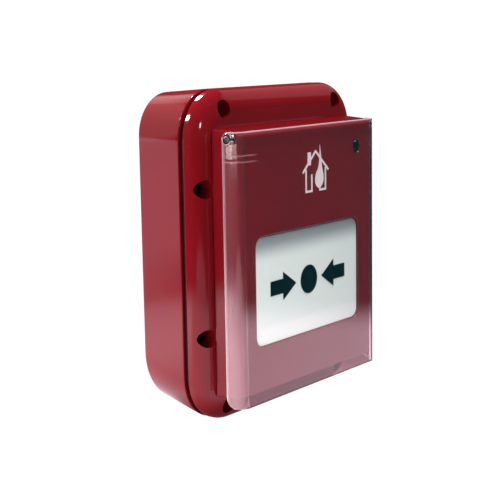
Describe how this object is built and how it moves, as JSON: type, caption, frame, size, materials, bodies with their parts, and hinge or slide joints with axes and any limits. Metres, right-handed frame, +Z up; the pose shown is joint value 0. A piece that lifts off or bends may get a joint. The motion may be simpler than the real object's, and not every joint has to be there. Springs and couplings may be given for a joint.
{
  "type": "manual call point",
  "caption": "Surface-mounted manual call point: red wall box and screwed bezel, resettable push element behind a clear lift-up cover, key reset underneath.",
  "frame": {"origin": "centre of the flat rear face that rests on the wall", "axes": "+X to the viewer's right, +Y into the wall, +Z up; the cover and the push element face -Y"},
  "size_m": [0.108, 0.0476, 0.1321],
  "materials": {
    "red_plastic": "moulded, high gloss",
    "clear_plastic": "clear polycarbonate with a slight haze",
    "white_plastic": "moulded, semi-gloss",
    "black_plastic": "moulded, satin",
    "black_ink": "printed, satin",
    "white_ink": "printed, satin",
    "seal_rubber": "matt",
    "zinc_steel": "black zinc plated",
    "bright_steel": "polished",
    "board_green": "solder mask over glass-fibre board",
    "lens_green": "moulded clear tinted lens, high gloss",
    "terminal_grey": "moulded, satin"
  },
  "bodies": {
    "housing": {"back_box": "red_plastic", "box_seal": "seal_rubber", "bezel": "red_plastic", "front_housing": "red_plastic", "cover_pin_left": "bright_steel", "cover_pin_right": "bright_steel", "pictogram": "white_ink", "guide_plate": "black_plastic", "microswitch_body": "black_plastic", "circuit_board": "board_green", "status_lamp": "lens_green", "terminal_block_1": "terminal_grey", "terminal_block_2": "terminal_grey", "cable_grommet": "seal_rubber", "entry_plug": "red_plastic", "entry_locknut": "black_plastic", "bezel_screw_1": "zinc_steel", "bezel_screw_2": "zinc_steel", "bezel_screw_3": "zinc_steel", "bezel_screw_4": "zinc_steel", "bezel_screw_5": "zinc_steel", "bezel_screw_6": "zinc_steel", "bezel_screw_7": "zinc_steel", "bezel_screw_8": "zinc_steel", "housing_screw_1": "zinc_steel", "housing_screw_2": "zinc_steel", "housing_screw_3": "zinc_steel", "housing_screw_4": "zinc_steel", "guide_screw_1": "zinc_steel", "guide_screw_2": "zinc_steel", "guide_screw_3": "zinc_steel", "guide_screw_4": "zinc_steel", "board_screw_1": "zinc_steel", "board_screw_2": "zinc_steel", "board_screw_3": "zinc_steel", "terminal_screw_1": "zinc_steel", "terminal_screw_2": "zinc_steel", "terminal_screw_3": "zinc_steel", "terminal_screw_4": "zinc_steel", "terminal_screw_5": "zinc_steel", "terminal_screw_6": "zinc_steel"},
    "cover": {"flip_cover": "clear_plastic"},
    "element": {"push_element": "white_plastic", "legend_arrow_left": "black_ink", "legend_arrow_right": "black_ink", "legend_dot": "black_ink", "element_carrier": "white_plastic"},
    "switch_lever": {"microswitch_lever": "bright_steel"},
    "switch_plunger": {"microswitch_plunger": "white_plastic"},
    "reset_key": {"reset_key_barrel": "black_plastic"}
  },
  "joints": [
    {"name": "cover_hinge", "type": "hinge", "parent": "housing", "child": "cover", "pos_m": [0, -0.0425, 0.0466], "axis": [-1, 0, 0], "range_deg": [0, 90]},
    {"name": "element_press", "type": "slide", "parent": "housing", "child": "element", "axis": [0, 1, 0], "range_m": [0, 0.0025]},
    {"name": "switch_lever_turn", "type": "hinge", "parent": "housing", "child": "switch_lever", "pos_m": [-0.016, -0.0297, -0.014], "axis": [0, 0, 1], "range_deg": [0, 12.6]},
    {"name": "switch_plunger_press", "type": "slide", "parent": "housing", "child": "switch_plunger", "axis": [0, 1, 0], "range_m": [0, 0.00062]},
    {"name": "reset_key_turn", "type": "hinge", "parent": "housing", "child": "reset_key", "pos_m": [0.02, -0.0382, -0.05], "axis": [0, 0, 1], "range_deg": [0, 90]}
  ],
  "couplings": [
    {"joint": "switch_lever_turn", "follows": "element_press", "rad_per_m": 87.27},
    {"joint": "switch_plunger_press", "follows": "element_press", "ratio": 0.24}
  ]
}
